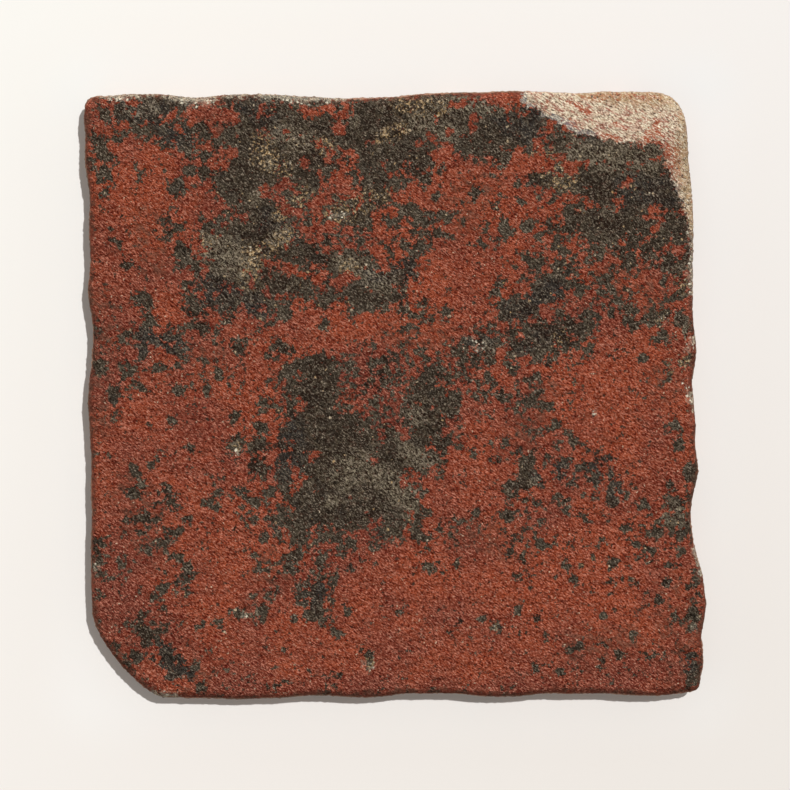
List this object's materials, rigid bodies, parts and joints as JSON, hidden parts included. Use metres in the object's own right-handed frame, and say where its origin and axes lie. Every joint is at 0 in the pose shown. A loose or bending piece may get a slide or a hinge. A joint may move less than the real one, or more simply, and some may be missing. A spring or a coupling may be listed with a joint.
{
  "type": "terracotta tile",
  "caption": "Square terracotta floor tile with a worn red face, a broken corner and a flaked corner, bedded on its flat underside.",
  "frame": {"origin": "centre of the outline, on the plane of the flat underside", "axes": "+Z out of the worn face; +X and +Y along the edges, with the flaked corner at +X +Y and the broken corner at -X -Y"},
  "size_m": [0.2062, 0.2016, 0.02],
  "materials": {
    "fired_clay": "matte, worn red face with dark weathered patches over pale clay"
  },
  "bodies": {
    "root": {"tile": "fired_clay"}
  },
  "joints": []
}
